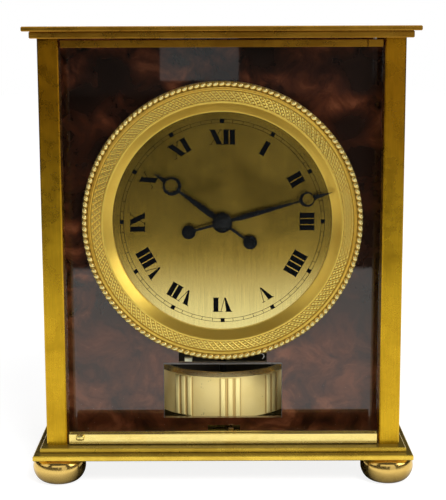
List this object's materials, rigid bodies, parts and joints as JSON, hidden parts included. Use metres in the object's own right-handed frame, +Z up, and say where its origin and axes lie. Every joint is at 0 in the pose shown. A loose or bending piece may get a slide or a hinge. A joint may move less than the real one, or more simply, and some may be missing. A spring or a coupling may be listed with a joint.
{
  "type": "atmospheric clock",
  "caption": "Glazed brass mantel clock with a round dial in a lacquered panel, a hinged glass door and a torsion pendulum wound by a bellows.",
  "frame": {"origin": "on the floor, under the middle of the case", "axes": "+Z up, -Y towards the dial and the door, +X to the right of someone facing the dial"},
  "size_m": [0.1948, 0.1428, 0.23],
  "materials": {
    "aged_brass": "aged satin brass with brown spots",
    "plate_brass": "aged brass, darker in the recesses",
    "polished_brass": "polished brass",
    "clear_glass": "clear polished glass",
    "lacquer": "gloss lacquer in clouded red-brown and black",
    "gilt": "gilt brass, beaded and engine-turned",
    "dial_gilt": "gilt dial, fine vertical brushing",
    "black_enamel": "black paint",
    "pendulum_gilt": "satin gilt with polished ribs",
    "steel": "bright steel",
    "lever_gilt": "gilt brass",
    "bellows_tin": "tinned sheet",
    "movement_brass": "lacquered movement brass"
  },
  "bodies": {
    "case": {"top_plate": "plate_brass", "top_frame_plate": "plate_brass", "base_top_plate": "plate_brass", "base_bottom_plate": "plate_brass", "front_left_pillar": "aged_brass", "front_right_pillar": "aged_brass", "rear_left_pillar": "aged_brass", "rear_right_pillar": "aged_brass", "rear_feet": "polished_brass", "left_side_glass": "clear_glass", "right_side_glass": "clear_glass", "rear_glass": "clear_glass", "fascia_panel": "lacquer", "panel_brackets": "steel", "bezel": "gilt", "dial_plate": "dial_gilt", "movement_posts": "movement_brass", "movement_platform": "movement_brass", "movement_front_plate": "movement_brass", "movement_back_plate": "movement_brass", "movement_pillars": "movement_brass", "escapement_bridge": "movement_brass", "suspension_bracket": "movement_brass", "suspension_clamp": "steel", "guide_bracket": "movement_brass", "winding_chain": "steel", "drum_cap": "movement_brass", "bellows_drum": "movement_brass", "bellows_spring": "steel", "bellows_capsule": "bellows_tin", "lock_post": "steel"},
    "door": {"door_glass": "clear_glass", "door_top_rail": "polished_brass", "door_bottom_rail": "polished_brass", "door_hinge_block": "polished_brass", "door_hinge_pins": "steel", "door_knob": "polished_brass"},
    "minute_train": {"centre_wheel": "movement_brass", "cannon_pinion": "movement_brass", "minute_hand": "black_enamel", "hand_nut": "black_enamel"},
    "hour_train": {"hour_wheel": "movement_brass", "hour_hand": "black_enamel"},
    "minute_wheel": {"minute_wheel": "movement_brass"},
    "barrel": {"barrel": "movement_brass"},
    "third_wheel": {"third_wheel": "movement_brass"},
    "escape_wheel": {"escape_wheel": "movement_brass"},
    "pallet_lever": {"pallet_lever": "steel"},
    "pendulum": {"pendulum_ring": "pendulum_gilt", "pendulum_spider": "pendulum_gilt", "pendulum_tube": "steel", "suspension_wire": "steel"},
    "lock_lever": {"lock_lever": "lever_gilt"},
    "lock_lifter": {"lock_lifter": "lever_gilt"},
    "bellows_plate": {"bellows_pressure_plate": "bellows_tin"},
    "winding_arbor": {"winding_arbor": "movement_brass"},
    "guide_pulley": {"guide_pulley": "movement_brass"},
    "regulator": {"regulator_index": "steel"},
    "front_left_foot": {"front_left_foot": "polished_brass"},
    "front_right_foot": {"front_right_foot": "polished_brass"}
  },
  "joints": [
    {"name": "door_hinge", "type": "hinge", "parent": "case", "child": "door", "pos_m": [0.075, -0.0559, 0.0187], "axis": [0, 0, 1], "range_deg": [0, 105]},
    {"name": "minute_turn", "type": "hinge", "parent": "case", "child": "minute_train", "pos_m": [0, -0.029, 0.13085], "axis": [0, 1, 0], "continuous": true},
    {"name": "hour_turn", "type": "hinge", "parent": "case", "child": "hour_train", "pos_m": [0, -0.029, 0.13085], "axis": [0, 1, 0], "continuous": true},
    {"name": "minute_wheel_turn", "type": "hinge", "parent": "case", "child": "minute_wheel", "pos_m": [0.01206, -0.029, 0.13085], "axis": [0, 1, 0], "continuous": true},
    {"name": "barrel_turn", "type": "hinge", "parent": "case", "child": "barrel", "pos_m": [0, -0.029, 0.16331], "axis": [0, 1, 0], "continuous": true},
    {"name": "third_wheel_turn", "type": "hinge", "parent": "case", "child": "third_wheel", "pos_m": [0, -0.029, 0.11279], "axis": [0, 1, 0], "continuous": true},
    {"name": "escape_wheel_turn", "type": "hinge", "parent": "case", "child": "escape_wheel", "pos_m": [0, -0.029, 0.09473], "axis": [0, 1, 0], "continuous": true},
    {"name": "lever_rock", "type": "hinge", "parent": "case", "child": "pallet_lever", "pos_m": [0, -0.009, 0.08423], "axis": [0, 1, 0], "range_deg": [-3, 3]},
    {"name": "pendulum_turn", "type": "hinge", "parent": "case", "child": "pendulum", "pos_m": [0, 0.008, 0.0239], "axis": [0, 0, 1], "range_deg": [-225, 225], "stiffness_Nm_per_rad": 0.000003},
    {"name": "lock_swing", "type": "hinge", "parent": "case", "child": "lock_lever", "pos_m": [0, 0.008, 0.0187], "axis": [0, 0, 1], "range_deg": [-12, 0]},
    {"name": "lock_lift", "type": "slide", "parent": "case", "child": "lock_lifter", "axis": [0, 0, 1], "range_m": [0, 0.0015]},
    {"name": "bellows_travel", "type": "slide", "parent": "case", "child": "bellows_plate", "axis": [0, 1, 0], "range_m": [-0.003, 0.003], "stiffness_N_per_m": 200, "deforming": ["bellows_capsule", "bellows_spring", "winding_chain"]},
    {"name": "winding_turn", "type": "hinge", "parent": "case", "child": "winding_arbor", "pos_m": [0, -0.029, 0.16331], "axis": [0, 1, 0], "range_deg": [-19.6, 19.6]},
    {"name": "guide_turn", "type": "hinge", "parent": "case", "child": "guide_pulley", "pos_m": [0.009, 0.0001, 0.1254], "axis": [1, 0, 0], "range_deg": [-29.15, 29.15]},
    {"name": "regulator_swing", "type": "hinge", "parent": "case", "child": "regulator", "pos_m": [0, 0.008, 0.19541], "axis": [0, 0, 1], "range_deg": [-20, 20]},
    {"name": "front_left_foot_turn", "type": "hinge", "parent": "case", "child": "front_left_foot", "pos_m": [-0.0839, -0.0579, 0], "axis": [0, 0, 1], "continuous": true},
    {"name": "front_right_foot_turn", "type": "hinge", "parent": "case", "child": "front_right_foot", "pos_m": [0.0839, -0.0579, 0], "axis": [0, 0, 1], "continuous": true}
  ],
  "couplings": [
    {"joint": "minute_wheel_turn", "follows": "minute_turn", "ratio": -0.33333},
    {"joint": "hour_turn", "follows": "minute_turn", "ratio": 0.083333},
    {"joint": "barrel_turn", "follows": "minute_turn", "ratio": -0.125},
    {"joint": "third_wheel_turn", "follows": "minute_turn", "ratio": -2},
    {"joint": "escape_wheel_turn", "follows": "minute_turn", "ratio": 4},
    {"joint": "lock_swing", "follows": "lock_lift", "rad_per_m": -139.62},
    {"joint": "winding_turn", "follows": "bellows_travel", "rad_per_m": 111.11},
    {"joint": "guide_turn", "follows": "bellows_travel", "rad_per_m": 166.67}
  ]
}
